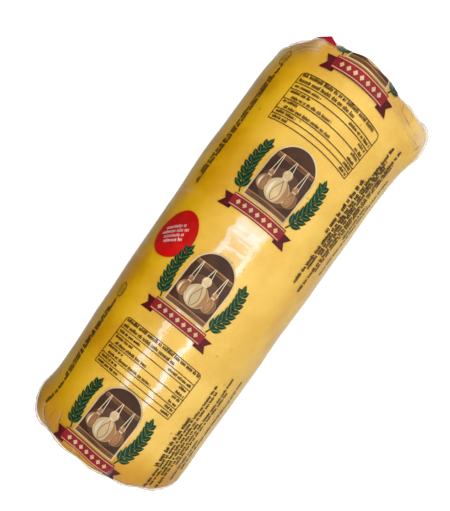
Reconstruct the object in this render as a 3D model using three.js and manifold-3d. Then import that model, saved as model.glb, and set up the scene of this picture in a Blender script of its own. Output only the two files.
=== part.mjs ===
// A log of smoked provola cheese, sealed in a clear shrink bag and lying on its side.
// The bag is drawn tight round the log, gathers into pleats at both ends, and is closed
// there by a straight heat seal whose tail lies folded flat across the end face.
// Millimetres, +Z up. The log's axis runs along X, and the origin lies under the middle of
// the log, on the narrow flat that it rests on.

import * as THREE from 'three';
import { mergeVertices } from 'three/addons/utils/BufferGeometryUtils.js';
import Module from 'manifold-3d';

const degrees = THREE.MathUtils.degToRad;
const smoothstep = THREE.MathUtils.smoothstep;

// The cheese log.
const LOG_LENGTH = 268;                 // over the crowns of the two end faces
const LOG_RADIUS = 50;
const LOG_TAPER = 0.002;                // share by which the +X end is wider than the middle
const SHOULDER_RADIUS = 11;             // rounding between the side and an end face
const SHOULDER_TURN = degrees(77);      // the crowned end face makes up the rest of the right angle
const REST_SAG = 2;                     // depth to which the underside is pressed flat

// The bag's gathers at the ends.
const GATHER_REACH = 16;                // how far up the side the pleats begin
const PLEAT_DEPTH = 0.9;
const PLEAT_WAVES = [
  { count: 13, phase: 0.4, share: 0.6 },
  { count: 8, phase: 1.9, share: 0.4 },
];

// Folds and tucks of the bag by its corners, at the two ends of each seal: which end of the log,
// the angle round it from the top (positive towards -Y), the place along the surface past the
// shoulder's start, how far the bag stands out there, and how far the fold spreads both ways.
const BAG_FOLDS = [
  { end: 1, angle: degrees(75), past: -3.5, height: 4.1, spread: degrees(16.5), length: 13 },
  { end: 1, angle: degrees(59), past: 9.5, height: -3.1, spread: degrees(24), length: 10 },
  { end: 1, angle: degrees(29), past: 9.5, height: -3.8, spread: degrees(10.5), length: 10 },
  { end: 1, angle: degrees(2), past: 7, height: 0.7, spread: degrees(23), length: 9.5 },
  { end: 1, angle: degrees(-38.5), past: 7, height: 3.0, spread: degrees(9), length: 8.5 },
  { end: 1, angle: degrees(-69), past: 9.5, height: -5.0, spread: degrees(30), length: 16.5 },
  { end: -1, angle: degrees(-60), past: 5.5, height: 4.4, spread: degrees(22.5), length: 9.5 },
  { end: -1, angle: degrees(-17), past: 11, height: 1.4, spread: degrees(9), length: 7.5 },
  { end: -1, angle: degrees(17), past: 10.5, height: -1.1, spread: degrees(15), length: 8 },
  { end: -1, angle: degrees(72), past: 0.5, height: 1.4, spread: degrees(9), length: 14.5 },
];

// Broad swells and hollows left in the soft cheese by pressing and hanging.
const BODY_SWELLS = [
  { along: 38, angle: degrees(-88), height: 0.3, length: 30, spread: degrees(38) },
  { along: 93, angle: degrees(-88), height: -1.1, length: 29, spread: degrees(38) },
  { along: -102, angle: degrees(-88), height: -1.3, length: 43, spread: degrees(40) },
  { along: 77, angle: degrees(88), height: -0.5, length: 28, spread: degrees(30) },
  { along: 9, angle: degrees(88), height: -0.3, length: 32, spread: degrees(30) },
  { along: 88, angle: degrees(150), height: 0.9, length: 48, spread: degrees(50) },
  { along: -40, angle: degrees(128), height: -0.7, length: 40, spread: degrees(45) },
];

// The folded tail of each seal: a strip across the end face, along Y.
const SEAL_LENGTH = 70;
const SEAL_WIDTH = 13;
const SEAL_THICKNESS = 2;
const SEAL_HEIGHT = { '1': 5, '-1': -4 };  // above the log's axis, at each end
const SEAL_STEPS = 14;

// Mesh fineness.
const STEPS_AROUND = 92;
const STEPS_SIDE = 26;
const STEPS_SHOULDER = 6;
const STEPS_FACE = 7;

// Sizes that follow from those above: the end face is a cap of a sphere that meets the shoulder
// without an edge.
const RIM_RADIUS = LOG_RADIUS - SHOULDER_RADIUS * (1 - Math.cos(SHOULDER_TURN));
const CROWN_RADIUS = RIM_RADIUS / Math.cos(SHOULDER_TURN);
const CROWN_HEIGHT = CROWN_RADIUS * (1 - Math.sin(SHOULDER_TURN));
const SIDE_END = LOG_LENGTH / 2 - CROWN_HEIGHT - SHOULDER_RADIUS * Math.sin(SHOULDER_TURN);
const AXIS_HEIGHT = LOG_RADIUS - REST_SAG;

const bell = (value, width) => Math.exp(-((value / width) ** 2));

function turnBetween(a, b) {
  return Math.atan2(Math.sin(a - b), Math.cos(a - b));
}

// Half of the log's profile, from the middle of the side to the middle of the end face.
function halfProfile() {
  const shoulder = new THREE.EllipseCurve(
    LOG_RADIUS - SHOULDER_RADIUS, SIDE_END, SHOULDER_RADIUS, SHOULDER_RADIUS, 0, SHOULDER_TURN,
  );
  const face = new THREE.EllipseCurve(
    0, LOG_LENGTH / 2 - CROWN_RADIUS, CROWN_RADIUS, CROWN_RADIUS, SHOULDER_TURN, Math.PI / 2,
  );
  const side = new THREE.LineCurve(
    new THREE.Vector2(LOG_RADIUS, 0), new THREE.Vector2(LOG_RADIUS, SIDE_END),
  );
  const points = [
    ...side.getPoints(STEPS_SIDE / 2),
    ...shoulder.getPoints(STEPS_SHOULDER).slice(1),
    ...face.getPoints(STEPS_FACE).slice(1),
  ];
  points.at(-1).x = 0;
  return points;
}

function fullProfile() {
  const upper = halfProfile();
  const lower = upper.slice(1).map((point) => new THREE.Vector2(point.x, -point.y));
  return [...lower.reverse(), ...upper];
}

// How far the bagged surface stands off the plain log at one place. The place on the profile is
// told by `past`, the distance along the surface from the shoulder's start, negative on the side.
function relief(angle, along, radius) {
  const end = Math.sign(along);
  const past = LOG_RADIUS - radius - Math.max(0, SIDE_END - Math.abs(along));
  const gather = smoothstep(past, -GATHER_REACH, SHOULDER_RADIUS)
    * smoothstep(radius, 0, LOG_RADIUS / 2);
  let height = 0;
  for (const wave of PLEAT_WAVES) {
    height += gather * PLEAT_DEPTH * wave.share * Math.cos(wave.count * angle + end * wave.phase);
  }
  for (const fold of BAG_FOLDS.filter((each) => each.end === end)) {
    height += fold.height * bell(turnBetween(angle, fold.angle), fold.spread)
      * bell(past - fold.past, fold.length) * smoothstep(radius, 0, LOG_RADIUS / 2);
  }
  for (const swell of BODY_SWELLS) {
    height += swell.height * bell(along - swell.along, swell.length)
      * bell(turnBetween(angle, swell.angle), swell.spread) * (radius / LOG_RADIUS);
  }
  return height + LOG_TAPER * radius * along / (LOG_LENGTH / 2);
}

// The log, turned on its axis, raised by its relief, laid along X and pressed flat underneath.
function logGeometry() {
  const geometry = new THREE.LatheGeometry(fullProfile(), STEPS_AROUND);
  const position = geometry.attributes.position;
  const normal = geometry.attributes.normal;
  const point = new THREE.Vector3();
  const outward = new THREE.Vector3();
  for (let i = 0; i < position.count; i += 1) {
    point.fromBufferAttribute(position, i);
    outward.fromBufferAttribute(normal, i);
    const radius = Math.hypot(point.x, point.z);
    const height = relief(Math.atan2(point.x, point.z), point.y, radius);
    point.addScaledVector(outward, height);
    position.setXYZ(i, point.x, point.y, point.z);
  }
  geometry.rotateZ(-Math.PI / 2);
  geometry.translate(0, 0, AXIS_HEIGHT);
  for (let i = 0; i < position.count; i += 1) {
    position.setZ(i, Math.max(0, position.getZ(i)));
  }
  return geometry;
}

// The tail of one seal: a flat strip, half sunk in the end face and bent to its crown.
function sealGeometry(end) {
  const geometry = new THREE.BoxGeometry(
    2 * SEAL_THICKNESS, SEAL_LENGTH, SEAL_WIDTH, 1, SEAL_STEPS, 2,
  );
  geometry.translate(0, 0, SEAL_HEIGHT[end]);
  const position = geometry.attributes.position;
  for (let i = 0; i < position.count; i += 1) {
    const radius = Math.hypot(position.getY(i), position.getZ(i));
    const crown = LOG_LENGTH / 2 - CROWN_RADIUS + Math.sqrt(CROWN_RADIUS ** 2 - radius ** 2);
    position.setX(i, position.getX(i) + end * crown);
  }
  geometry.translate(0, 0, AXIS_HEIGHT);
  return geometry;
}

const wasm = await Module();
wasm.setup();

function solidOf(geometry) {
  geometry.deleteAttribute('normal');
  geometry.deleteAttribute('uv');
  const merged = mergeVertices(geometry, 1e-3);
  return new wasm.Manifold(new wasm.Mesh({
    numProp: 3,
    vertProperties: new Float32Array(merged.attributes.position.array),
    triVerts: new Uint32Array(merged.index.array),
  }));
}

function geometryOf(solid) {
  const mesh = solid.getMesh();
  const geometry = new THREE.BufferGeometry();
  geometry.setAttribute('position', new THREE.BufferAttribute(mesh.vertProperties, 3));
  geometry.setIndex(new THREE.BufferAttribute(mesh.triVerts, 1));
  geometry.computeVertexNormals();
  return geometry;
}

const baggedLog = solidOf(logGeometry())
  .add(solidOf(sealGeometry(1)))
  .add(solidOf(sealGeometry(-1)));

const goldenCheese = new THREE.MeshStandardMaterial({
  color: 0xe6b34a,
  roughness: 0.28,
  metalness: 0,
});

const part = new THREE.Group();
const log = new THREE.Mesh(geometryOf(baggedLog), goldenCheese);
log.name = 'bagged_provola_log';
part.add(log);

export default part;
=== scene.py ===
import bpy
import numpy as np
from mathutils import Matrix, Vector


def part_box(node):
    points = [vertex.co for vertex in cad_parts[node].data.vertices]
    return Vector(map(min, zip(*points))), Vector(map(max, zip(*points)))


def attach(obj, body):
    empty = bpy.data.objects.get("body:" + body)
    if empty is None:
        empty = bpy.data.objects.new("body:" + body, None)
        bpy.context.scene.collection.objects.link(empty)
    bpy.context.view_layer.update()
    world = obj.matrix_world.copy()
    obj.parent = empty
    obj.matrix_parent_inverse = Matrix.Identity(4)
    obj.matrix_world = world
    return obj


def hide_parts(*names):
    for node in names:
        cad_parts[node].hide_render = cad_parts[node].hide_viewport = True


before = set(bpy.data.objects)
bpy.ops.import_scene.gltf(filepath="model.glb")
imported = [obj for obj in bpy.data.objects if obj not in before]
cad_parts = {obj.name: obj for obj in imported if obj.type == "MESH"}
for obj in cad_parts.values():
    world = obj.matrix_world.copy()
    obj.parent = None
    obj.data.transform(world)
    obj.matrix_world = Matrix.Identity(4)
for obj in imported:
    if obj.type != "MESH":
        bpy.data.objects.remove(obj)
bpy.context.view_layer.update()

# The cheese log
# One piece of smoked stretched-curd cheese, pressed into a log and smoked to a golden yellow.
# It lies on its side inside the bag and fills it, except under the bag's folds at the ends.
mm = 0.001
seal_thickness = 2 * mm
node_low, node_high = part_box("bagged_provola_log")
log_length = node_high.x - node_low.x - 2 * seal_thickness
log_radius = 50 * mm
rest_sag = 2 * mm
axis_height = log_radius - rest_sag
shoulder_radius = 11 * mm
shoulder_turn = np.radians(77)
rim_radius = log_radius - shoulder_radius * (1 - np.cos(shoulder_turn))
crown_radius = rim_radius / np.cos(shoulder_turn)
crown_height = crown_radius * (1 - np.sin(shoulder_turn))
side_end = log_length / 2 - crown_height - shoulder_radius * np.sin(shoulder_turn)
shoulder_end = side_end + shoulder_radius * shoulder_turn
skin_end = shoulder_end + crown_radius * (np.pi / 2 - shoulder_turn)
log_taper = 0.002
gather_reach = 16 * mm
pleat_depth = 0.9 * mm
pleat_waves = [(13, 0.4, 0.6), (8, 1.9, 0.4)]
# Folds: the end, the angle round the log, how far past the shoulder's start, height, spread, length.
bag_folds = [
    (1, 75, -3.5, 4.1, 16.5, 13),
    (1, 59, 9.5, -3.1, 24, 10),
    (1, 29, 9.5, -3.8, 10.5, 10),
    (1, 2, 7, 0.7, 23, 9.5),
    (1, -38.5, 7, 3.0, 9, 8.5),
    (1, -69, 9.5, -5.0, 30, 16.5),
    (-1, -60, 5.5, 4.4, 22.5, 9.5),
    (-1, -17, 11, 1.4, 9, 7.5),
    (-1, 17, 10.5, -1.1, 15, 8),
    (-1, 72, 0.5, 1.4, 9, 14.5),
]
# Swells: the place along the log, the angle round it, height, spread, length.
body_swells = [
    (38, -88, 0.3, 38, 30),
    (93, -88, -1.1, 38, 29),
    (-102, -88, -1.3, 40, 43),
    (77, 88, -0.5, 30, 28),
    (9, 88, -0.3, 30, 32),
    (-60, 88, 0.4, 30, 28),
    (88, 150, 0.9, 50, 48),
    (-40, 128, -0.7, 45, 40),
]
fold_share = 0.92
pleat_share = 0.65
film_gap = 0.4 * mm
gather_gap = 0.35 * mm
slow_lumps = (0.13 * mm, 42 * mm)
fine_lumps = (0.010 * mm, 12 * mm)


def bell(value, width):
    """A bump of height 1 at 0 that falls off as the square of value over width."""
    return np.exp(-((value / width) ** 2))


def ease(value, low, high):
    """A smooth step from 0 at low to 1 at high."""
    t = np.clip((value - low) / (high - low), 0, 1)
    return t * t * (3 - 2 * t)


def turn_between(angle, other):
    """The signed turn from one angle to another, the short way round."""
    return np.arctan2(np.sin(angle - other), np.cos(angle - other))


def log_profile(run):
    """The log's half section carried along its skin: run is the signed distance along the skin from
    the middle of the length. A straight side, an arc for the shoulder, then an arc of the crowned
    end. Gives the place along the axis, the radius, and how far the outward normal leans to the end."""
    away = np.abs(run)
    turn = np.clip((away - side_end) / shoulder_radius, 0, shoulder_turn)
    crown = np.clip((away - shoulder_end) / crown_radius, 0, np.pi / 2 - shoulder_turn)
    lean = turn + crown
    along = np.where(
        away < shoulder_end,
        np.minimum(away, side_end) + shoulder_radius * np.sin(turn),
        log_length / 2 - crown_radius * (1 - np.sin(lean)),
    )
    radius = np.where(
        away < shoulder_end,
        log_radius - shoulder_radius * (1 - np.cos(turn)),
        crown_radius * np.cos(lean),
    )
    return np.sign(run) * along, radius, np.sign(run) * lean


def gather(run):
    """How far the bag is gathered: 0 on the side, 1 over the shoulder, 0 at the pole."""
    along, radius, _ = log_profile(run)
    past = log_radius - radius - np.maximum(0, side_end - np.abs(along))
    return ease(past, -gather_reach, shoulder_radius) * ease(radius, 0, log_radius / 2)


def bag_relief(angle, run, pleats=1.0, folds=1.0):
    """Height of the bagged surface over the plain log: pleats as cosines round the ends, folds and
    tucks as bells by the corners, broad swells on the side and a slight taper. pleats and folds
    give the share of the pleats and of the outward folds that is wanted."""
    along, radius, _ = log_profile(run)
    end = np.sign(along)
    past = log_radius - radius - np.maximum(0, side_end - np.abs(along))
    inner = ease(radius, 0, log_radius / 2)
    height = log_taper * radius * along / (log_length / 2)
    for count, phase, share in pleat_waves:
        wave = np.cos(count * angle + end * phase)
        height = height + pleats * gather(run) * pleat_depth * share * wave
    for side, centre, start, rise, spread, length in bag_folds:
        amount = rise * mm * (folds if rise > 0 else 1)
        across = bell(turn_between(angle, np.radians(centre)), np.radians(spread))
        down = bell(past - start * mm, length * mm)
        height = height + (end == side) * amount * across * down * inner
    for place, centre, rise, spread, length in body_swells:
        across = bell(turn_between(angle, np.radians(centre)), np.radians(spread))
        down = bell(along - place * mm, length * mm)
        height = height + rise * mm * across * down * radius / log_radius
    return height


def on_skin(angle, run, height):
    """The point at an angle round the log from its top, positive towards -Y, at a distance along its
    skin, and at a height over it along the outward normal."""
    along, radius, lean = log_profile(run)
    out = radius + height * np.cos(lean)
    place = [along + height * np.sin(lean), -out * np.sin(angle), axis_height + out * np.cos(angle)]
    return np.stack(place, -1)


def waves(points, pitch, seed, count=9):
    """A smooth uneven field of about plus and minus 1: the sum of sine waves of about one pitch that
    run through space in seeded directions."""
    rng = np.random.default_rng(seed)
    directions = rng.normal(size=(count, 3))
    directions /= np.linalg.norm(directions, axis=1, keepdims=True)
    numbers = 2 * np.pi / (pitch * rng.uniform(0.7, 1.4, count))
    phases = rng.uniform(0, 2 * np.pi, count)
    return np.sin((points @ directions.T) * numbers + phases).sum(-1) / np.sqrt(count / 2)


def lumps(angle, run):
    """The cheese's own unevenness, which the tight film follows: two sizes of smooth waves."""
    points = on_skin(angle, run, 0 * run)
    slow, fine = slow_lumps, fine_lumps
    return slow[0] * waves(points, slow[1], 3) + fine[0] * waves(points, fine[1], 4)


def skin_grid(rows, columns):
    """Angle and run on a grid that goes once round the log and from one pole to the other, with the
    rows closer together over the shoulders, where the bag is gathered."""
    fine = np.linspace(-skin_end, skin_end, 4001)
    amount = np.cumsum(1 + 0.7 * ease(np.abs(fine), side_end - 2 * gather_reach, side_end))
    share = np.linspace(amount[0], amount[-1], rows + 2)[1:-1]
    run = np.interp(share, amount, fine)
    angle = np.linspace(-np.pi, np.pi, columns, endpoint=False)
    return np.meshgrid(angle, run)


def put_in(name, vertices, faces, smooth=True):
    """A new object at the origin, whose mesh has these vertices and faces."""
    mesh = bpy.data.meshes.new(name)
    mesh.from_pydata(vertices.tolist(), [], faces)
    mesh.polygons.foreach_set("use_smooth", np.full(len(mesh.polygons), smooth))
    piece = bpy.data.objects.new(name, mesh)
    bpy.context.scene.collection.objects.link(piece)
    return piece


def closed_skin(name, points, poles):
    """A closed mesh from a grid of points that goes round in its second direction, with one pole
    vertex at each end: quads between the rows and a fan of triangles at each pole."""
    rows, columns, _ = points.shape
    vertices = np.concatenate([points.reshape(-1, 3), poles])
    index = np.arange(rows * columns).reshape(rows, columns)
    ahead = np.roll(index, -1, axis=1)
    quads = np.stack([index[:-1], ahead[:-1], ahead[1:], index[1:]], -1).reshape(-1, 4)
    foot = np.full(columns, rows * columns)
    fans = np.concatenate(
        [np.stack([ahead[0], index[0], foot], -1), np.stack([index[-1], ahead[-1], foot + 1], -1)]
    )
    return put_in(name, vertices, quads.tolist() + fans.tolist())


def poles_of(height):
    """The two pole points of the skin, moved out by a height."""
    reach = log_length / 2 + height
    return np.array([[-reach, 0, axis_height], [reach, 0, axis_height]])


def rest_flat(points, height):
    """The same points, pressed flat underneath at a height over the ground."""
    points[..., 2] = np.maximum(points[..., 2], height)
    return points


class Wire:
    """One output of a shader node. Arithmetic on it adds Math nodes, and add puts in any node."""

    def __init__(self, node, output=0):
        self.node = node
        self.output = output
        self.tree = node.id_data

    def out(self, output):
        """Another output of the same node, by its name or number."""
        return Wire(self.node, output)

    def join(self, socket):
        """Links this output to an input socket."""
        self.tree.links.new(self.node.outputs[self.output], socket)

    @staticmethod
    def add(tree, kind, settings=None, **inputs):
        """A new node of one kind: its settings first, then its sockets, as values or wires, by name or,
        as _0, by number. Gives its first output."""
        node = tree.nodes.new("ShaderNode" + kind)
        for key, value in (settings or {}).items():
            setattr(node, key, value)
        for key, value in inputs.items():
            name = key.replace("_", " ")
            socket = node.inputs[int(key[1:])] if key[1:].isdigit() else node.inputs[name]
            if isinstance(value, Wire):
                value.join(socket)
            else:
                socket.default_value = value
        return Wire(node)

    def math(self, operation, first, second):
        return Wire.add(self.tree, "Math", {"operation": operation}, _0=first, _1=second)

    def __add__(self, other):
        return self.math("ADD", self, other)

    def __radd__(self, other):
        return self.math("ADD", other, self)

    def __sub__(self, other):
        return self.math("SUBTRACT", self, other)

    def __rsub__(self, other):
        return self.math("SUBTRACT", other, self)

    def __mul__(self, other):
        return self.math("MULTIPLY", self, other)

    def __rmul__(self, other):
        return self.math("MULTIPLY", other, self)

    def __pow__(self, other):
        return self.math("POWER", self, other)

    def __gt__(self, other):
        return self.math("GREATER_THAN", self, other)

    def larger(self, other):
        """The larger of this value and another."""
        return self.math("MAXIMUM", self, other)

    def step(self, low, high):
        """A smooth step of this value from 0 at low to 1 at high."""
        settings = {"interpolation_type": "SMOOTHSTEP"}
        return Wire.add(self.tree, "MapRange", settings, _0=self, _1=low, _2=high)

    def blend(self, first, second):
        """The colour that goes from first to second as this value goes from 0 to 1."""
        settings = {"data_type": "RGBA"}
        return Wire.add(self.tree, "Mix", settings, _0=self, _6=first, _7=second).out(2)


def new_finish(name):
    """A new material: its empty shader tree, and the Object coordinates as a wire."""
    material = bpy.data.materials.new(name)
    material.use_nodes = True
    material.node_tree.nodes.clear()
    return material, material.node_tree, Wire.add(material.node_tree, "TexCoord").out("Object")


def noise(place, scale, detail):
    """Soft clouds from 0 to 1: scale is how many there are to the metre, detail how fine they get."""
    return Wire.add(place.tree, "TexNoise", Vector=place, Scale=scale, Detail=detail)


def shade(code):
    """A colour as a linear RGBA tuple, from the usual six-figure screen colour."""
    screen = np.array([code >> 16 & 255, code >> 8 & 255, code & 255]) / 255
    linear = np.where(screen <= 0.04045, screen / 12.92, ((screen + 0.055) / 1.055) ** 2.4)
    return (*linear.tolist(), 1.0)


def smoked_cheese():
    """Golden smoked cheese: soft clouds of deeper and paler gold, a fine grain, a few small dark flecks
    from the smoking, and a little light carried under the surface. Light and shade are painted into
    its colour: painted light makes it palest along the top and the -Y side, painted shade makes it
    deepest at the foot and over most of the head end, and a painted fill light makes it a clearer,
    lighter yellow on the end faces and underneath."""
    material, tree, place = new_finish("smoked_cheese")
    cloud = noise(place, 48.0, 4.0)
    grain = noise(place, 420.0, 3.0)
    cells = Wire.add(tree, "TexVoronoi", Vector=place, Scale=105.0)
    chance = Wire.add(tree, "SeparateColor", _0=cells.out("Color"))
    ragged = cells.out("Distance") + (grain - 0.5) * 0.12
    fleck = (1 - ragged.step(0.02, 0.10)) * (chance > 0.35)
    spot = Wire.add(tree, "SeparateXYZ", Vector=place)
    along, across, level = (spot.out(axis) for axis in "XYZ")
    # Painted light: the colour is paler along the top and the -Y side and deeper on the +Y side, at the
    # foot end and at the head's +Y corner, as the light falls.
    painted_light_side = 1 - (across.step(0.002, 0.022) + across.step(0.018, 0.036)) * 0.5
    painted_light_side = painted_light_side * (0.5 + across.step(-0.050, -0.022) * 0.5)
    painted_light_side = painted_light_side * level.step(0.040, 0.075) * along.step(-0.126, -0.096)
    painted_light_side = painted_light_side * (1 - along.step(0.075, 0.115) * across.step(0.008, 0.030) * 0.6)
    # Each cloud tone and the grain's bloom come as a lit and a shaded copy, blended by the painted
    # light.
    deep = painted_light_side.blend(shade(0xDDA004), shade(0xE8BC54))
    pale = painted_light_side.blend(shade(0xF0BA10), shade(0xF3CB66))
    gold = cloud.step(0.34, 0.66).blend(deep, pale)
    grain_bloom_with_painted_light = painted_light_side.blend(shade(0xF0BE28), shade(0xF4D480))
    gold = (grain.step(0.35, 0.75) * (0.06 + painted_light_side * 0.12)).blend(gold, grain_bloom_with_painted_light)
    # Painted shade: a deeper brown-gold over the foot end and over the head end away from its -Y corner,
    # where the skin turns away from the light.
    painted_end_shade = 1 - along.step(-0.122, -0.098)
    painted_end_shade = painted_end_shade + along.step(0.106, 0.124) * across.step(-0.042, -0.026) * 0.85
    gold = (painted_end_shade * 0.75).blend(gold, shade(0xC0830A))
    # Painted fill light: underneath and on the end faces the colour is a lighter, clearer yellow,
    # standing in for light from below and from the ends.
    painted_fill_light = 1 - level.step(0.040, 0.056)
    painted_fill_light = painted_fill_light.larger(1 - along.step(-0.1305, -0.1265)).larger(along.step(0.1265, 0.1305))
    yellow = cloud.step(0.3, 0.7).blend(shade(0xEFAE1A), shade(0xF7C23A))
    gold = (painted_fill_light * 0.85).blend(gold, yellow)
    body = Wire.add(
        tree,
        "BsdfPrincipled",
        Base_Color=(fleck * 0.5).blend(gold, shade(0x84501A)),
        Roughness=0.42 + grain * 0.12,
        Normal=Wire.add(tree, "Bump", Strength=0.25, Distance=0.0004, Height=cloud * 0.6 + grain * 0.2),
        Specular_IOR_Level=0.15,
        Subsurface_Weight=0.12,
        Subsurface_Radius=(1.0, 0.5, 0.12),
        Subsurface_Scale=0.004,
    )
    Wire.add(tree, "OutputMaterial", Surface=body)
    return material


angle, run = skin_grid(200, 180)
cheese_height = bag_relief(angle, run, pleat_share, fold_share) + lumps(angle, run)
cheese_height -= film_gap + gather_gap * gather(run)
cheese = closed_skin(
    "cheese_log", rest_flat(on_skin(angle, run, cheese_height), film_gap), poles_of(-film_gap)
)
cheese.data.materials.append(smoked_cheese())
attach(cheese, "root")
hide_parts("bagged_provola_log")

# The print on the film
# Flat inks printed on the outer face of the clear film: two repeats of a panel with an emblem, a
# boxed table and a second emblem, columns of small text along both sides, and a red egg.
ink_lift = 0.05 * mm
ink_thickness = 0.03 * mm
layer_step = 0.035 * mm
print_bow = 3.2
print_middle = -3 * mm
beam_foot = 11.4
inks = {}


def film_height(angle, run):
    """The film's smooth form over the plain log: the bag's relief, the cheese's lumps and the slack."""
    return bag_relief(angle, run) + lumps(angle, run) + slack(angle, run)


def slack(angle, run):
    """Low blisters where the film is a little loose on the two flanks: the upper part of smooth waves,
    stretched along the log, that fades out towards the top, the underside and the ends."""
    points = on_skin(angle, run, 0 * run) * np.array([0.6, 1, 1])
    flank = ease(np.abs(np.abs(angle) - np.pi / 2), np.radians(44), np.radians(20))
    blisters = np.maximum(0, waves(points, 14 * mm, 51) + 0.4)
    return 0.10 * mm * flank * blisters * (1 - gather(run))


def lay(colour, place, u, v, layer=0, bow=print_bow):
    """Adds patches of one ink, a layer further out than the last for each layer."""
    patches = film_patches(place, u, v, ink_lift + layer_step * layer, bow)
    inks.setdefault(colour, []).append(patches)


def film_patches(place, u, v, lift, bow):
    """Patches that lie at a height over the film. u and v are one grid or an array of grids, in
    millimetres of the flat artwork, counter-clockwise seen from outside. place gives the artwork's
    middle as arc and run, and its tilt in degrees. The patch is turned, carried onto the log, bowed
    as the stretched film is, and given a front, a back and a rim."""
    u, v = (grid.reshape(-1, *grid.shape[-2:]) for grid in (u, v))
    arc, run, tilt = place
    turn = np.radians(tilt)
    around = (arc + u * np.cos(turn) - v * np.sin(turn)) * mm
    along = (run + u * np.sin(turn) + v * np.cos(turn)) * mm
    along = along - bow * (around - print_middle) ** 2
    angle = around / log_radius
    height = film_height(angle, along) + lift
    return slab(on_skin(angle, along, height), on_skin(angle, along, height - ink_thickness))


def grid_faces(rows, columns):
    """The quads of a grid, as the numbers of its points, and those numbers as a grid."""
    index = np.arange(rows * columns).reshape(rows, columns)
    quads = np.stack([index[:-1, :-1], index[1:, :-1], index[1:, 1:], index[:-1, 1:]], -1)
    return quads.reshape(-1, 4), index


def slab(front, back):
    """Vertices and quads of thin closed slabs from their front and back grids of points, one slab to
    each entry of the first direction: the front, the back turned round, and the rim between."""
    count, rows, columns, _ = front.shape
    vertices = np.concatenate([front.reshape(count, -1, 3), back.reshape(count, -1, 3)], 1)
    face, index = grid_faces(rows, columns)
    rim = np.concatenate([index[:-1, 0], index[-1, :-1], index[:0:-1, -1], index[0, :0:-1]])
    ahead = np.roll(rim, -1)
    size = rows * columns
    wall = np.stack([rim, rim + size, ahead + size, ahead], -1)
    quads = np.concatenate([face, face[:, ::-1] + size, wall])
    offset = 2 * size * np.arange(count)[:, None, None]
    return vertices.reshape(-1, 3), (quads[None] + offset).reshape(-1, 4)


def block(low_u, low_v, high_u, high_v, rows=2, columns=2):
    """Upright rectangles as patches, from arrays or single values of their edges."""
    edges = np.broadcast_arrays(*(np.atleast_1d(e) for e in (low_u, low_v, high_u, high_v)))
    a, b, c, d = (e[:, None, None] for e in edges)
    s, t = np.meshgrid(np.linspace(0, 1, rows), np.linspace(0, 1, columns), indexing="ij")
    return a + (c - a) * s, b + (d - b) * t


def disc(middle_u, middle_v, half_u, half_v, steps=17):
    """An ellipse as one patch: a square grid whose sides are bulged out to the ellipse."""
    s, t = np.meshgrid(np.linspace(-1, 1, steps), np.linspace(-1, 1, steps), indexing="ij")
    u = middle_u + half_u * s * np.sqrt(1 - t * t / 2)
    v = middle_v + half_v * t * np.sqrt(1 - s * s / 2)
    return u, v


def stroke(path_u, path_v, width):
    """A line of one width along a path, as one patch with the path to its left and right."""
    du, dv = np.gradient(path_u), np.gradient(path_v)
    length = np.hypot(du, dv)
    side_u, side_v = dv / length * width / 2, -du / length * width / 2
    u = np.stack([path_u - side_u, path_u + side_u], -1)
    v = np.stack([path_v - side_v, path_v + side_v], -1)
    return u[:, ::-1].T, v[:, ::-1].T


def letters(length, height, rng, gap):
    """A row of plain upright bars as fine as the strokes of small letters, in words: seeded widths, with
    a taller bar now and then, laid side by side until the length is full, with gaps that are a share
    of their height. Gives the bars' edges along and up."""
    count = int(length / height * 4) + 8
    width = height * rng.uniform(0.16, 0.36, count)
    space = np.isin(np.arange(count), np.cumsum(rng.integers(4, 14, count)))
    step = np.where(space, 0.45 * height, width + gap * height)
    start = np.cumsum(step) - step
    top = height * np.where(rng.random(count) < 0.25, 1.35, 1.0)
    keep = ~space & (start + width < length)
    return start[keep], (start + width)[keep], top[keep]


def text_row(place, u, v, length, height, rng, bow=print_bow):
    """A row of letter marks that starts at u, v and runs to the right."""
    start, stop, top = letters(length, height, rng, 0.17)
    lay("dark", place, *block(u + start, v, u + stop, v + top), layer=2, bow=bow)


def text_column(place, length, height, rng, gap=0.12):
    """A row of letter marks that runs up along the log, with the tops of the marks to the left."""
    start, stop, top = letters(length, height, rng, gap)
    lay("dark", place, *block(-top, start, 0 * top, stop), layer=2, bow=0)


def boxed_table(place, share, rng):
    """A table in a thin box with rounded top corners: a two-line heading, then rows of one or two
    lines parted by rules, each with its words at the left and its figures at the right. share is
    its height as a share of the usual."""
    half, top, corner, rule = 26.3, 14.9 * share, 2.2, 0.38
    rows = [(2, 6.6), (1, 4.0), (2, 6.2), (2, 6.2), (1, 3.4), (1, 3.4)]
    foot = top - share * sum(tall for _, tall in rows)
    sweep = np.linspace(0, np.pi / 2, 7)
    edge_v = np.linspace(foot, top - corner, 16)
    left_u = np.concatenate([0 * edge_v - half, -half + corner * (1 - np.cos(sweep[1:]))])
    left_v = np.concatenate([edge_v, top - corner + corner * np.sin(sweep[1:])])
    top_u = np.linspace(-half + corner, half - corner, 25)
    box_u = np.concatenate([left_u, top_u[1:-1], -left_u[::-1]])
    box_v = np.concatenate([left_v, 0 * top_u[1:-1] + top, left_v[::-1]])
    lay("dark", place, *stroke(box_u, box_v, rule), layer=2)
    level = top
    wide = np.linspace(-half, half, 27)
    for number, (lines, tall) in enumerate(rows):
        tall = tall * share
        level -= tall
        lay("dark", place, *stroke(wide, 0 * wide + level, rule), layer=2)
        for line in range(lines):
            v = level + tall * (lines - line - 0.5) / lines - 0.7
            if number == 0:
                text_row(place, 1.2 - half, v, (49.5, 35)[line] * rng.uniform(0.94, 1.02), 1.55, rng)
                continue
            indent = 2.5 * line
            words = rng.uniform(9, 16) if line == 0 else rng.uniform(22, 30)
            text_row(place, 1.4 - half + indent, v, words, 1.25, rng)
            figures = 16 if number == 1 else 5.6
            text_row(place, half - 1.0 - figures, v, figures, 1.25, rng)


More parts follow.
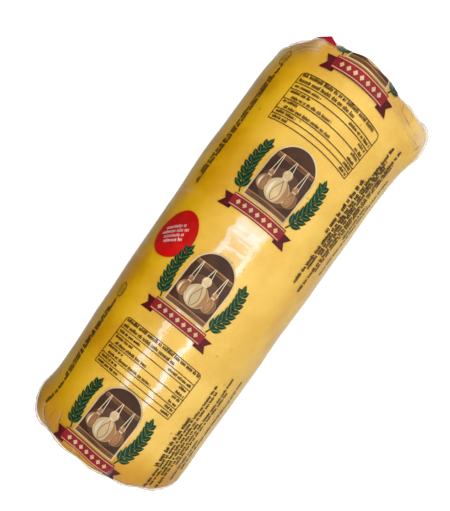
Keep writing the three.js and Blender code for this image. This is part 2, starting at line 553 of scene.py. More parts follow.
def emblem(place):
    """A plain dairy emblem: an arched brown panel with three pear-shaped cheeses that hang from a beam
    over a shelf, a leafy sprig up each side, and a straight red banner with notched ends at the foot."""
    half, foot, spring, keyline = 12.5, -13.5, 8.5, 0.9
    s, t = np.meshgrid(np.linspace(-1, 1, 27), np.linspace(0, 1, 31), indexing="ij")
    for colour, grow, layer in (("cream", keyline, 0), ("brown", 0.0, 1)):
        wide = half + grow
        crown = spring + wide * np.sqrt(np.maximum(0, 1 - s * s))
        v = foot - grow + (crown - foot + grow) * t
        lay(colour, place, wide * s, v, layer=layer)
    lay("chestnut", place, *disc(0, -1.5, 11.2, 9.6), layer=2)
    plank(place, half, foot, 2.8)
    plank(place, 11.0, beam_foot, 2.4)
    pear(place, -7.6, -7.5, 0.66, "tan", "umber", 3)
    pear(place, 7.6, -7.5, 0.66, "tan", "umber", 3)
    pear(place, 0, -9.6, 1, "cream", "tan", 5)
    for side in (-1, 1):
        sprig(place, side)
    banner(place)


def plank(place, half, foot, tall):
    """A wooden plank seen from its edge: a plain strip with a light upper edge and three dark lines of
    grain of different lengths."""
    lay("umber", place, *block(-half, foot, half, foot + tall, 25, 3), layer=3)
    lay("tan", place, *block(-half, foot + tall - 0.5, half, foot + tall, 25, 2), layer=4)
    for share, start, stop in ((0.25, -0.9, 0.3), (0.45, -0.3, 0.95), (0.62, -0.75, 0.05)):
        u = np.linspace(start, stop, 13) * half
        lay("brown", place, *stroke(u, foot + share * tall + 0.12 * np.sin(0.7 * u), 0.3), layer=4)


def pear(place, u, low, size, skin, shadow, layer):
    """A pear-shaped cheese that hangs from the beam: a round body, a neck and a small head, whose widths
    are joined smoothly, with a pale gleam on its left and a shadow on its right. A cord goes round the
    neck, crosses over the body, and runs up from the head to the beam as two strands."""
    body, head, neck = 6.4 * size, 2.5 * size, 1.5 * size
    tall = 2 * body + 2.1 * head
    rise = (1 - np.cos(np.linspace(0.04, 0.97, 21) * np.pi)) / 2 * tall
    round_body = np.sqrt(np.maximum(0, body**2 - (rise - body) ** 2))
    top = tall - head
    round_head = np.sqrt(np.maximum(0, head**2 - (rise - top) ** 2))
    waist = neck * ease(rise, 0.2 * tall, 0.6 * tall) * (1 - ease(rise, top, tall))
    width = (round_body**6 + round_head**6 + waist**6) ** (1 / 6) + 0.05
    s = np.linspace(-1, 1, 11)[:, None]
    lay(skin, place, u + s * width, low + rise + 0 * s, layer=layer)
    gleam = ("pale", -0.6, 0.14, slice(3, 12))
    for tone, middle, spread, part in (gleam, (shadow, 0.76, 0.22, slice(1, 15))):
        round_share = np.sin(np.linspace(0.06, 0.94, len(rise[part])) * np.pi)
        band_u = u + (middle + spread * s * round_share) * width[part]
        lay(tone, place, band_u, low + rise[part] + 0 * s, layer=layer + 1)
    fall = np.linspace(0.02, 0.98, 17)
    for side in (-0.45, 0.45):
        net_u = u + side * body * np.sin(np.pi * fall) * np.sqrt(fall)
        lay("umber", place, *stroke(net_u, low + 1.9 * body * (1 - fall) + 0.3, 0.32), layer=layer + 2)
    tie = np.linspace(-1, 1, 9) * neck * 1.15
    lay("pale", place, *stroke(u + tie, low + top - 0.95 * head + 0.1 * tie**2, 0.45), layer=layer + 2)
    for side in (-1, 1):
        strand = np.linspace(0, 1, 9)
        strand_u = u + side * (0.9 * neck * (1 - strand) + 0.25)
        strand_v = low + top + (beam_foot + 2.4 - low - top) * strand
        lay("pale", place, *stroke(strand_u, strand_v, 0.36), layer=layer + 2)


def sprig(place, side):
    """A leafy sprig: a stem that curves up beside the panel, with pairs of pointed leaves along it and
    one at its tip. side is -1 or 1."""
    t = np.linspace(0, 1, 25)
    stem_u = side * (13.6 + 6.0 * np.sin(np.pi * (0.08 + 0.62 * t)))
    stem_v = -14.5 + 27.0 * t
    lay("green", place, *stroke(stem_u, stem_v, 0.7), layer=2)
    for number, place_on in enumerate(np.linspace(0.10, 0.97, 8)):
        u, v = np.interp(place_on, t, stem_u), np.interp(place_on, t, stem_v)
        heading = np.interp(place_on, t, np.arctan2(np.gradient(stem_v), np.gradient(stem_u)))
        for lean in (0.75, -0.75):
            leaf(place, u, v, heading + lean, 6.4 - 0.25 * number, 1.45)
    leaf(place, stem_u[-1], stem_v[-1], np.pi / 2 + side * 0.25, 5.4, 1.25)


def leaf(place, u, v, heading, length, half_width):
    """A pointed leaf from its stalk at u, v along a heading: its half width swells and closes as a
    sine, and a paler vein runs down its middle."""
    t = np.linspace(0.0, 1, 11)[:, None]
    s = np.linspace(-1, 1, 5)[None]
    for colour, share, layer in (("green", 1.0, 2), ("leaf", 0.16, 3)):
        wide = share * half_width * np.sin(np.pi * t**0.85) + 0.03
        p, q = length * t + 0 * s, s * wide
        leaf_u = u + p * np.cos(heading) - q * np.sin(heading)
        leaf_v = v + p * np.sin(heading) + q * np.cos(heading)
        lay(colour, place, leaf_u, leaf_v, layer=layer)


def banner(place):
    """A straight red banner: two darker tails with notched ends behind a plain band, two thin cream
    lines along it, and a row of small cream lozenges."""
    low, high, half, tail = -22.6, -15.2, 16.5, 5.4
    s, t = np.meshgrid(np.linspace(0, 1, 9), np.linspace(-1, 1, 7), indexing="ij")
    for side in (-1, 1):
        reach = half - 2.4 + (tail + 2.4 - 2.6 * (1 - np.abs(t))) * s
        drop = (low + high) / 2 - 1.7 + t * (high - low) / 2
        order = slice(None, None, side)
        lay("deep_red", place, side * reach[order], drop[order], layer=2)
        fold_u = side * (half - 2.4 * np.array([[1, 1], [0.5, 0]]))
        fold_v = low - 1.7 * np.array([[1, 0], [0.5, 0]])
        lay("wine", place, fold_u[order], fold_v[order], layer=3)
    lay("red", place, *block(-half, low, half, high, 37, 7), layer=3)
    line = np.linspace(-half + 0.6, half - 0.6, 31)
    for level in (low + 0.9, high - 0.9):
        lay("cream", place, *stroke(line, 0 * line + level, 0.4), layer=4)
    u = np.linspace(-half + 4.5, half - 4.5, 7)[:, None, None]
    corner_u = np.array([[-1, 0], [0, 1]]) * 1.3
    corner_v = np.array([[0, 1], [-1, 0]]) * 1.5
    lay("cream", place, u + corner_u, (low + high) / 2 + 0 * u + corner_v, layer=4)


def oval_mark(place, rng):
    """A small upright oval outline with three short rows of marks in it."""
    turn = np.linspace(0, 2 * np.pi, 33)
    lay("dark", place, *stroke(2.9 * np.cos(turn), 4.2 * np.sin(turn), 0.45), layer=2, bow=0)
    for shift, length in ((-0.9, 3.4), (0.5, 4.4), (1.9, 3.0)):
        column = (place[0] + shift, place[1] - length / 2, place[2])
        text_column(column, length, 0.7, rng, 0.4)


def red_egg(place, rng):
    """A red egg, wider below, with four slanted rows of white marks."""
    u, v = disc(0, 0, 13.4, 14.4, 25)
    lay("scarlet", place, u * (1 - 0.07 * v / 14.4), v, layer=0)
    slanted = (place[0] - 0.6, place[1] - 0.4, place[2] + 26)
    for level, length in ((3.6, 13.5), (0.8, 17.5), (-2.0, 13.5), (-4.8, 12.0)):
        start, stop, top = letters(length, 1.5, rng, 0.34)
        edges = block(start - length / 2, level, stop - length / 2, level + top)
        lay("white", slanted, *edges, layer=1)


rng = np.random.default_rng(11)
for arc, run in ((-1.6, 52.6), (-4.2, -14.6), (-3.6, -99.8), (1.8, 137.0)):
    emblem((arc, run, -3.0))
boxed_table((-1.2, 92.4, -4.2), 0.94, rng)
boxed_table((-4.2, -62.8, -2.7), 1.0, rng)
red_egg((-35.3, 4.9, -3.0), rng)
oval_mark((-45.6, 111.0, -3.0), rng)
oval_mark((-46.5, -41.7, -1.0), rng)
# Columns of text: arc, run, length, height of the marks, tilt.
side_columns = [
    (35.5, 47, 34, 2.1, -1.4), (37.6, 16, 87, 1.7, -1.6), (40.3, 26, 70, 1.7, -1.4),
    (42.7, 36, 57, 1.7, -1.4), (45.2, 13, 92, 1.7, -1.2), (47.7, 27, 70, 1.6, -1.0),
    (52.0, 50, 22, 1.3, -0.6), (55.4, 27, 64, 1.4, -0.6),
    (34.0, -108, 34, 2.0, 0.6), (36.3, -123, 70, 1.45, 0.2), (39.1, -121, 65, 1.45, 0.2),
    (41.7, -113, 36, 1.45, 0.2), (44.5, -122, 76, 1.45, 0.2), (47.2, -105, 50, 1.45, 0.2),
    (52.0, -116, 28, 1.3, 0.2), (56.2, -109, 62, 1.4, 1.6),
    (-44.7, 30, 77, 1.75, -1.8), (-47.2, 36, 64, 1.75, -2.0),
    (-42.1, -117, 70, 1.75, 2.8), (-45.5, -100, 46, 1.75, 2.2),
]
for arc, run, length, height, tilt in side_columns:
    text_column((arc, run, tilt), length, height, rng)


def printed_ink(name, code):
    """One flat ink: its colour, a little uneven as print on film is, with a satin surface."""
    material, tree, place = new_finish(name)
    patchy = noise(place, 180.0, 4.0)
    slow = noise(place, 60.0, 2.0)
    full = shade(code)
    thin = tuple(0.8 * c + 0.02 for c in full[:3]) + (1.0,)
    heavy = tuple(0.72 * c for c in full[:3]) + (1.0,)
    tone = slow.step(0.40, 0.68).blend(heavy, full)
    body = Wire.add(
        tree,
        "BsdfPrincipled",
        Base_Color=(patchy.step(0.45, 0.85) * 0.6).blend(tone, thin),
        Roughness=0.35 + patchy * 0.2,
    )
    Wire.add(tree, "OutputMaterial", Surface=body)
    return material


ink_colours = {
    "dark": 0x2E1205,
    "red": 0x9E1020,
    "deep_red": 0x5E0A12,
    "wine": 0x33060B,
    "scarlet": 0xE00A06,
    "green": 0x12391F,
    "leaf": 0x4E7A48,
    "brown": 0x4A2A16,
    "chestnut": 0x63402A,
    "umber": 0x86562E,
    "tan": 0xB58350,
    "cream": 0xE3C48F,
    "pale": 0xF3E2BE,
    "white": 0xF4EFE6,
}


def joined(name, patches, material):
    """One piece from many patches of vertices and quads, with its finish, riding on the log."""
    starts = np.cumsum([0] + [len(vertices) for vertices, _ in patches])
    vertices = np.concatenate([vertices for vertices, _ in patches])
    quads = np.concatenate([faces + start for (_, faces), start in zip(patches, starts)])
    piece = put_in(name, vertices, quads.tolist(), smooth=False)
    piece.data.materials.append(material)
    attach(piece, "root")
    return piece


for colour, patches in inks.items():
    joined("ink_" + colour, patches, printed_ink("ink_" + colour, ink_colours[colour]))

# The film bag
# Clear glossy shrink film, drawn tight round the log by the vacuum. It gathers into sharp creases
# over the shoulders and stands off the cheese at its folds. On top it carries painted reflections of
# the two long lamps: milky streaks along the log and a small ladder of rungs over a patch of ripples.
crease_widths = (0.7, 1.3)
pole_haze = 0.1
# Groups of creases: how many, at which end, the range of angles and of places past the shoulder's start,
# how far they lean, and the ranges of height and length.
crease_groups = [
    (46, 1, (-180, 180), (0, 28), 0.20, (0.1, 0.35), (5, 14)),
    (46, -1, (-180, 180), (0, 28), 0.20, (0.1, 0.35), (5, 14)),
    (18, 1, (44, 100), (-12, 18), 0.50, (0.2, 0.6), (4, 11)),
    (10, 1, (-64, -18), (-4, 16), 0.45, (0.2, 0.5), (4, 10)),
    (14, -1, (10, 84), (2, 18), 0.30, (0.15, 0.45), (4, 10)),
    (8, -1, (-84, -40), (-4, 12), 1.20, (0.15, 0.4), (7, 16)),
    (16, 1, (25, 86), (-230, -10), 1.3, (0.04, 0.14), (3, 8)),
    (16, 1, (-86, -25), (-230, -10), 1.3, (0.04, 0.14), (3, 8)),
]
# Creases on the flanks: arc, run, lean, height, length, width.
shown_creases = [
    (-62, 10, 0.10, 0.45, 7, 1.2),
    (-62, -14, 0.20, 0.50, 8, 1.2),
    (-63, -19, -0.10, 0.35, 6, 1.0),
    (-51, 23.5, 0.15, 0.30, 8, 1.0),
    (-56, -22, 0.30, 0.30, 7, 1.0),
    (66, 44, 0.10, 0.30, 8, 1.1),
    (67, -35, -0.15, 0.30, 9, 1.1),
]
# Milky spots: arc, run, amount, width across, length.
hazy_spots = [
    (-44, 122, 0.35, 12, 6),
    (62, 122, 0.85, 14, 8),
    (-38, -128, 0.5, 10, 5),
    (16, -130, 0.5, 22, 4),
]


def creases(angle, run, seed):
    """Sharp ridges of the film, drawn at random from a seed, group by group: fans over the shoulders,
    denser at the bag's corners, and faint ones on the side."""
    rng = np.random.default_rng(seed)
    height = 0 * run
    for count, end, angles, past, swing, heights, lengths in crease_groups:
        for _ in range(count):
            centre = np.radians(rng.uniform(*angles))
            down = end * (side_end + rng.uniform(*past) * mm)
            lean = np.pi / 2 + rng.normal(0, swing)
            sizes = (rng.uniform(*size) * mm for size in (heights, lengths, crease_widths))
            height = height + crease(angle, run, centre, down, lean, *sizes)
    return height


def flank_creases(angle, run):
    """A few short ridges of the film across the flanks, each set in its own place."""
    height = 0 * run
    for arc, down, lean, *sizes in shown_creases:
        sizes = (size * mm for size in sizes)
        height = height + crease(angle, run, arc * mm / log_radius, down * mm, lean, *sizes)
    return height


def crease(angle, run, centre, down, lean, height, length, width):
    """One ridge: a line in the plane of arc and run, whose height falls off as a bell along it and as a
    cusp across it. It has its middle as an angle and a run, and a lean from the round direction."""
    around = log_radius * turn_between(angle, centre)
    along = run - down
    p = around * np.cos(lean) + along * np.sin(lean)
    q = along * np.cos(lean) - around * np.sin(lean)
    return height * bell(p, length) * np.exp(-np.abs(q) / width)


def ripples(angle, run):
    """Faint waves of the taut film along the top of the log, which break up its reflections: slow
    ones all along, and a patch of closer ones across the film near the middle."""
    points = on_skin(angle, run, 0 * run)
    across = log_radius * angle
    patch = bell(across + 1.3 * mm, 11 * mm) * bell(run - 20 * mm, 15 * mm)
    slow = 0.006 * mm * waves(points, 10 * mm, 21)
    close = 0.035 * mm * patch * np.sin(2 * np.pi * run / (7.3 * mm) + 1.5 * waves(points, 30 * mm, 22))
    return slow + close


def haze(angle, run):
    """How milky the film is where it is doubled and crumpled: a bell for each spot."""
    amount = 0 * run
    for arc, down, share, wide, long in hazy_spots:
        across = bell(log_radius * turn_between(angle, arc * mm / log_radius), wide * mm)
        amount = amount + share * across * bell(run - down * mm, long * mm)
    return amount


# Painted reflections of the two long lamps over the log, laid on the film as milk: rails where their
# streaks fall, rungs where the rippled film would catch their light.
# Rails: the place across the log and the share of milk. Rungs: the place along the log, half width,
# lower and upper end across the log, and share of milk.
rails = [(8.4, 0.50), (-6.1, 0.58)]
rungs = [
    (24.0, 1.3, -7.0, 9.0, 0.65),
    (22.6, 3.2, -8.0, 0.5, 0.75),
    (20.3, 1.2, -6.0, 8.5, 0.7),
    (17.4, 0.8, -6.0, 3.0, 0.6),
    (15.2, 0.8, -6.0, -1.0, 0.5),
    (12.0, 0.9, -6.0, 8.0, 0.6),
]
rung_fade = 1.5


def painted_streak_ladder(place, ragged):
    """A painted reflection of the two long lamps over the log, as a share of milk on the film, from
    its Object coordinates: two long rails along the log where their streaks fall and, near the
    middle, a field that is denser towards +X with rungs across it. Each is a line that fades out on
    both sides, and ragged shifts its edges."""
    spot = Wire.add(place.tree, "SeparateXYZ", Vector=place)
    along, across, level = (spot.out(axis) for axis in "XYZ")
    side = across + ragged
    ladder = side.step(-0.0100, -0.0065) * (1 - side.step(0.0075, 0.0110))
    ladder = ladder * along.step(0.004, 0.010) * (0.14 + along.step(0.012, 0.023) * 0.4)
    for middle, share in rails:
        off = side - middle * mm
        rail = (1 - (off * off).step(0.0, 5.5e-6)) * along.step(-0.090, -0.076) * share
        ladder = ladder.larger(rail)
    for middle, half, low, high, share in rungs:
        off = along + ragged * 0.6 - middle * mm
        line = (1 - (off * off).step(0.0, 2.6 * (half * mm) ** 2)) * share
        line = line * side.step((low - rung_fade) * mm, (low + rung_fade) * mm)
        line = line * (1 - side.step((high - rung_fade) * mm, (high + rung_fade) * mm))
        ladder = ladder.larger(line)
    return ladder * (1 - along.step(0.024, 0.034)) * level.step(0.080, 0.090)


def clear_film():
    """Clear film: what is behind shows straight through it, a mirror-like sheen covers it that grows
    towards grazing views from either face, and creased places are milky. Painted highlights lie on
    the flank creases and painted reflections of the lamps' streaks along the top, both as milk."""
    material, tree, place = new_finish("clear_film")
    edge_on = Wire.add(tree, "LayerWeight", Blend=0.5).out("Facing")
    sheen = 0.056 + 0.944 * edge_on**4.5
    crease_milk_and_highlights = Wire.add(tree, "Attribute", {"attribute_name": "creased"}).out("Fac")
    dust = noise(place, 90.0, 5.0)
    drawn = Wire.add(tree, "VectorMath", {"operation": "MULTIPLY"}, _0=place, _1=(1.7, 0.6, 0.6))
    crinkle = noise(drawn, 160.0, 1.0)
    ladder = painted_streak_ladder(place, (dust - 0.5) * 0.004 + (crinkle - 0.5) * 0.005)
    clear = Wire.add(tree, "BsdfTransparent", Color=(1, 1, 1, 1))
    gloss = Wire.add(
        tree,
        "BsdfPrincipled",
        Base_Color=(1, 1, 1, 1),
        Metallic=1.0,
        Roughness=0.20 + dust * 0.08,
        Normal=Wire.add(tree, "Bump", Strength=0.6, Distance=0.0001, Height=crinkle),
    )
    milk = Wire.add(tree, "BsdfPrincipled", Base_Color=(0.89, 0.91, 0.80, 1), Roughness=0.3)
    # Milk from the crease marks, plus the painted reflection of the lamps' streaks and ladder.
    crease_milk_and_painted_streaks = crease_milk_and_highlights * (0.16 + dust * 0.42) + ladder * (0.4 + dust * 1.2)
    glossy = Wire.add(tree, "MixShader", _0=sheen, _1=clear, _2=gloss)
    film = Wire.add(tree, "MixShader", _0=crease_milk_and_painted_streaks, _1=glossy, _2=milk)
    Wire.add(tree, "OutputMaterial", Surface=film)
    return material


def mark_film(piece, values):
    """Stores how creased and milky the film is at each vertex, for its finish; on the bag's flank
    creases this includes a painted highlight.
    """
    attribute = piece.data.attributes.new("creased", "FLOAT", "POINT")
    attribute.data.foreach_set("value", np.asarray(values, np.float32).ravel())


angle, run = skin_grid(290, 340)
pinch = flank_creases(angle, run)
ridge = creases(angle, run, 31) + pinch
bag_height = film_height(angle, run) + ridge * ease(skin_end - np.abs(run), 0, 14 * mm)
bag_height += ripples(angle, run)
bag = closed_skin("film_bag", rest_flat(on_skin(angle, run, bag_height), 0.0), poles_of(0.0))
film = clear_film()
bag.data.materials.append(film)
bag.visible_shadow = False
crease_marks = np.clip(ridge / (0.45 * mm), 0, 1) ** 1.5
crease_marks *= ease(np.abs(run), side_end - 20 * mm, side_end)
crease_marks = 0.45 * crease_marks + 0.06 * gather(run) + haze(angle, run)
# The creases on the flanks are painted milky along their ridges: painted highlights where they would
# catch the light.
crease_marks += 0.8 * np.clip(pinch / (0.4 * mm), 0, 1)
mark_film(bag, np.concatenate([crease_marks.ravel(), [pole_haze, pole_haze]]))
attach(bag, "root")
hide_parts("bagged_provola_log")

# The tucks in the film
# Where the gathered film is folded on itself it shows as thin lines: a brownish painted shade along
# the root of each tuck, where the fold is in shade, and a pale painted highlight along its free edge.
tuck_depth = 0.05 * mm
tuck_start = 118.5
# Tucks: the start, the bend and the end of each, as arc and run.
shown_tucks = [
    ((22, 119.5), (38, 113.0), (61, 114.5)),
    ((26, 121.5), (37, 115.5), (60, 118.5)),
    ((54, 110.5), (57, 114.0), (60, 117.5)),
    ((-16, 119.0), (-16.5, 114.0), (-15, 109.0)),
    ((-57, 118.5), (-43, 120.5), (-28, 122.0)),
    ((-45, 115.0), (-34, 120.0), (-23, 121.0)),
    ((-41, -117.0), (-39, -127.5), (-14, -129.0)),
    ((-29.5, -112.0), (-28, -115.0), (-26.5, -118.5)),
    ((0, -128.5), (14, -124.5), (34, -123.5)),
    ((2, -125.0), (9, -123.2), (20, -121.5)),
]


def tuck_line(path, width, shift):
    """A thin line along a tuck: a curve that leaves its start towards a bend and reaches its end from
    there, as a ribbon that is widest in the middle. shift moves it sideways."""
    start, bend, stop = np.array(path, float)
    t = np.linspace(0, 1, 25)[:, None]
    curve = (1 - t) ** 2 * start + 2 * t * (1 - t) * bend + t**2 * stop
    ahead = np.gradient(curve, axis=0)
    ahead /= np.linalg.norm(ahead, axis=1, keepdims=True)
    side = np.stack([ahead[:, 1], -ahead[:, 0]], -1)
    half = width / 2 * np.sin(np.pi * np.clip(t, 0.02, 0.98)) ** 0.7
    edges = curve + side * (shift + half * np.array([-1.0, 1.0])[:, None, None])
    return film_patches((0, 0, 0), edges[..., 0], edges[..., 1], -tuck_depth, 0)


def end_tucks(rng):
    """Short tucks that run over both shoulders towards the poles, spread round the log at random."""
    for end in (-1, 1):
        for arc in np.linspace(-128, 128, 34) + rng.uniform(-4, 4, 34):
            past = rng.uniform(-4, 5)
            length = rng.uniform(7, 17)
            lean = rng.normal(0, 1.8)
            runs = tuck_start + past + length * np.array([0, 0.5, 1])
            arcs = arc + lean * np.array([0, 0.2, 1])
            yield tuple(zip(arcs, end * runs))


def tuck_finish(name, code, share):
    """A thin line of doubled film: partly clear, partly a painted shade or highlight colour, more in
    some places.
    """
    material, tree, place = new_finish(name)
    patchy = noise(place, 160.0, 3.0)
    full = shade(code)
    thin = tuple(0.8 * c for c in full[:3]) + (1.0,)
    clear = Wire.add(tree, "BsdfTransparent", Color=(1, 1, 1, 1))
    body = Wire.add(tree, "BsdfPrincipled", Base_Color=patchy.blend(full, thin), Roughness=0.4)
    line = Wire.add(tree, "MixShader", _0=share * patchy.step(0.30, 0.65), _1=clear, _2=body)
    Wire.add(tree, "OutputMaterial", Surface=line)
    return material


rng = np.random.default_rng(61)
small_tucks = list(end_tucks(rng))
shade_lines = [tuck_line(path, 0.7, 0.0) for path in shown_tucks]
shade_lines += [tuck_line(path, 0.5, 0.0) for path in small_tucks[::2]]
edges = [tuck_line(path, 1.1, 1.0) for path in shown_tucks]
edges += [tuck_line(path, 0.8, 0.0) for path in small_tucks[1::2]]
# The roots get a painted brownish shade line and the free edges a painted pale highlight line.
joined("tuck_shade_lines", shade_lines, tuck_finish("tuck_shade_line", 0xA06A1E, 0.32))
joined("tuck_highlight_lines", edges, tuck_finish("tuck_highlight_line", 0xEDD9A8, 0.32))

# The corner flap
# A small three-cornered tab at the bag's corner, with the end of a red field of print on it. It stands
# out past the shoulder of the +X end.
flap_arcs = (-37.0, -18.5)
flap_run = 126.0 * mm
flap_reach = 3.6 * mm
flap_film = 0.15 * mm
flap_tip = 0.66
flap_ahead = 0.90
flap_out = 0.44


def corner_flap(cover, lift):
    """The tab as a grid of its width by its reach: rooted on the shoulder, it leaves it along a slant
    between the log's axis and the outward direction, and its reach rises to the tip and falls off
    again. cover is the share of it that is wanted, and lift its height over the root."""
    s, t = np.meshgrid(np.linspace(0, 1, 31), np.linspace(0, 1, 9), indexing="ij")
    width = flap_arcs[1] - flap_arcs[0]
    around = (flap_arcs[0] + width * (0.5 + cover * (s - 0.5))) * mm / log_radius
    run = flap_run + 0 * s
    root = on_skin(around, run, film_height(around, run) + lift)
    reach = flap_reach * cover * np.minimum((s / flap_tip) ** 1.6, (1 - s) / (1 - flap_tip))
    ahead = np.array([1.0, 0, 0])
    outward = np.stack([0 * s, -np.sin(around), np.cos(around)], -1)
    slant = flap_ahead * ahead + flap_out * outward
    curl = 0.25 * mm * np.sin(9 * s) * t * t
    front = root + (t * reach)[..., None] * slant
    front[..., 2] += curl
    back = front - flap_film * (flap_ahead * outward - flap_out * ahead)
    return slab(front[None], back[None])


flap = joined("corner_flap", [corner_flap(1.0, 0.10 * mm)], film)
mark_film(flap, np.full(len(flap.data.vertices), 0.3))
joined("ink_flap", [corner_flap(0.9, 0.32 * mm)], printed_ink("ink_crimson", 0xC8102E))

# The folded seals
# The bag's tail past each heat seal, two films welded together with a ribbed band, folded flat
# across the end face and held there by the shrunk film.
seal_length = 70 * mm
seal_width = 13 * mm
seal_film = 0.35 * mm
seal_levels = {1: 5 * mm, -1: -4 * mm}


def folded_seal(end, rows=120, columns=30):
    """A wavy strip across an end face along Y: it follows the crown at a small height, lifts and
    ripples towards its free edge, and has fine ribs along the weld."""
    y, z = np.meshgrid(
        np.linspace(-0.5, 0.5, rows) * seal_length, np.linspace(-0.5, 0.5, columns) * seal_width,
        indexing="ij",
    )
    free = ease(z, -seal_width / 2, seal_width / 2)
    wave = waves(np.stack([y, 0.3 * z, 0 * y], -1), 12 * mm, 41 + end)
    weld = bell(z, 2.6 * mm)
    ribs = 0.12 * mm * np.sin(2 * np.pi * z / (1.3 * mm)) * weld
    lift = (0.9 + 0.30 * wave * (0.4 + free) * (1 - 0.6 * weld)) * mm + ribs
    edge = 1.3 * mm * waves(np.stack([y, 0 * y, 0 * y], -1), 15 * mm, 45 + end)
    drop = 3.0 * mm * (2 * y / seal_length) ** 2
    taper = 1 - 0.45 * ease(np.abs(y), 0.30 * seal_length, 0.5 * seal_length)
    milk = 0.08 + 0.5 * weld + 0.5 * ease(np.abs(z), 0.44 * seal_width, 0.5 * seal_width)
    z = z * taper + seal_levels[end] - drop + edge * free
    crown = log_length / 2 - crown_radius + np.sqrt(crown_radius**2 - y**2 - z**2)
    front = np.stack([end * (crown + lift), y, axis_height + z], -1)
    back = front - np.array([end * seal_film, 0, 0])
    order = slice(None, None, end)
    milk = np.tile(milk[order].ravel(), 2)
    return *slab(front[None, order], back[None, order]), milk


for end, name in ((1, "film_seal_head"), (-1, "film_seal_foot")):
    vertices, quads, milk = folded_seal(end)
    seal = put_in(name, vertices, quads.tolist())
    seal.data.materials.append(film)
    mark_film(seal, milk)
    seal.visible_shadow = False
    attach(seal, "root")
    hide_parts("bagged_provola_log")

# The stage
# A white table lit a little from within, a pale wall round it, and soft light that is brighter on the
# -Y side. Two long narrow lamps over the log give its streaks, two panels past its ends give the film
# a sheen from low down, and one under the table lights its underside. The camera is close above.
reach = 3.0
cove_radius = 0.8
wall_height = 2.6
corners = np.array([(-reach, -reach, 0), (reach, -reach, 0), (reach, reach, 0), (-reach, reach, 0)])
floor = put_in("floor", corners, [(0, 1, 2, 3)], smooth=False)
material, tree, place = new_finish("pale_floor")
paint = Wire.add(
    tree,
    "BsdfPrincipled",
    Base_Color=noise(place, 3.0, 2.0).blend((0.56, 0.56, 0.56, 1), (0.6, 0.6, 0.6, 1)),
    Roughness=0.9,
    Emission_Color=(1, 1, 1, 1),
    Emission_Strength=0.8,
)
Wire.add(tree, "OutputMaterial", Surface=paint)
material.cycles.emission_sampling = "NONE"
floor.data.materials.append(material)
floor.visible_glossy = floor.visible_diffuse = floor.visible_shadow = False


def cove_wall():
    """A pale wall on a circle round the table, which meets it in a quarter round: a profile of distance
    and height, turned about the upright axis."""
    turn, t = np.meshgrid(np.linspace(0, 2 * np.pi, 73), np.linspace(0, np.pi / 2, 9))
    out = reach - cove_radius * (1 - np.sin(t))
    up = cove_radius * (1 - np.cos(t))
    out, up = np.vstack([out, out[-1:]]), np.vstack([up, 0 * up[-1:] + wall_height])
    turn = np.vstack([turn, turn[-1:]])
    points = np.stack([out * np.cos(turn), out * np.sin(turn), up + 1 * mm], -1)
    quads, _ = grid_faces(*out.shape)
    return put_in("wall", points.reshape(-1, 3), quads.tolist())


wall = cove_wall()
wall.data.materials.append(material)
wall.visible_glossy = wall.visible_diffuse = wall.visible_shadow = False

world = bpy.data.worlds.new("soft_room")
bpy.context.scene.world = world
world.use_nodes = True
tree = world.node_tree
sky = Wire.add(tree, "SeparateXYZ", Vector=Wire.add(tree, "TexCoord").out("Object"))
to_side = -1 * sky.out("Y")
below = -1 * sky.out("Z")
glow = 0.29 * to_side.step(0.02, 0.5) + 0.39 * (below + 0.12 * to_side).step(0.08, 0.88)
tint = below.step(0.3, 0.7).blend((1, 1, 1, 1), (1, 0.94, 0.78, 1))
glow.join(tree.nodes["Background"].inputs["Strength"])
tint.join(tree.nodes["Background"].inputs["Color"])


def aim(piece, right, up, back, place):
    """Puts a lamp or a camera at a place, with its own X, Y and Z along three directions."""
    turned = np.eye(4)
    turned[:3] = np.stack([right, up, back, place], -1)
    piece.matrix_world = Matrix(turned.tolist())


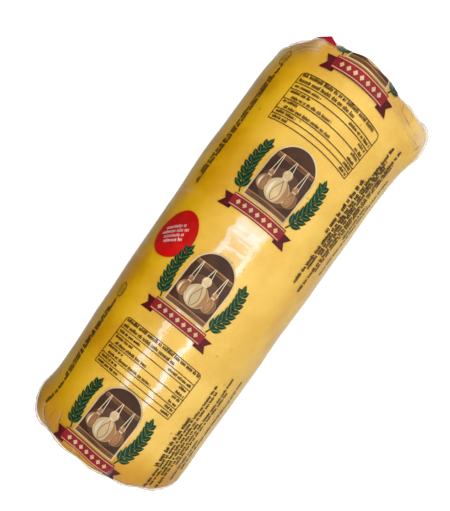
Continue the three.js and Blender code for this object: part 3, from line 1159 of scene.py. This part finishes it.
def lamp(name, place, target, size, power, along=(1, 0, 0)):
    """A rectangular area lamp at a place, turned to face a target, with its first side along a given
    direction."""
    light = bpy.data.lights.new(name, "AREA")
    light.shape = "RECTANGLE"
    light.size, light.size_y = size
    light.energy = power
    lit = bpy.data.objects.new(name, light)
    bpy.context.scene.collection.objects.link(lit)
    back = np.array(place, float) - np.array(target, float)
    back /= np.linalg.norm(back)
    side = np.array(along) - (back @ along) * back
    side /= np.linalg.norm(side)
    aim(lit, side, np.cross(back, side), back, place)
    lit.visible_camera = False
    return lit


top = (0, 0, axis_height + log_radius)
for end, power in ((-1, 5.8), (1, 29.6)):
    panel = lamp(f"panel_over_{end}", (0.6 * end, -0.12, 1.6), top, (1.2, 2.2), power)
    panel.visible_glossy = False
for side, power in ((-1, 2.6), (1, 3.8)):
    panel = lamp(f"panel_{side}", (0, 1.12 * side, 1.3), top, (2.2, 1.6), power)
    panel.visible_glossy = False
    strip = lamp(f"strip_{side}", (-0.25, 0.36 * side, 1.25), top, (0.62, 0.09), 1.2)
    strip.visible_diffuse = False

panel = lamp("panel_under", (0, 0, -0.6), top, (1.0, 1.0), 6.5)
panel.visible_glossy = False
for end, power in ((-1, 6), (1, 2.4)):
    panel = lamp(f"panel_end_{end}", (1.3 * end, 0, 0.06), (0, 0, 0.06), (0.4, 0.2), power, (0, 1, 0))
    panel.visible_glossy = False
    sheen = lamp(f"sheen_{end}", (2.4 * end, 0, 0.95), (0, 0, 0.09), (3.0, 1.7), 5, (0, 1, 0))
    sheen.visible_diffuse = False

camera_along, camera_across, camera_height = 27.569 * mm, 0.886 * mm, 325 * mm
camera_place = (camera_along, camera_across, axis_height + camera_height)
tip_along, tip_across, axis_in_picture = np.radians([-4.129, -0.694, 54.95])
lens = 38.32
ahead = np.array([np.sin(tip_along), -np.sin(tip_across), -np.cos(tip_along) * np.cos(tip_across)])
ahead /= np.linalg.norm(ahead)
level_right = np.cross(ahead, [1.0, 0, 0])
level_right /= np.linalg.norm(level_right)
level_up = np.cross(level_right, ahead)
roll = axis_in_picture - np.pi / 2
right = np.cos(roll) * level_right - np.sin(roll) * level_up
up = np.sin(roll) * level_right + np.cos(roll) * level_up
camera = bpy.data.objects.new("camera", bpy.data.cameras.new("camera"))
camera.data.lens = lens
camera.data.clip_start = 0.01
aim(camera, right, up, -ahead, camera_place)
bpy.context.scene.collection.objects.link(camera)
bpy.context.scene.camera = camera
bpy.context.scene.view_settings.view_transform = "Standard"
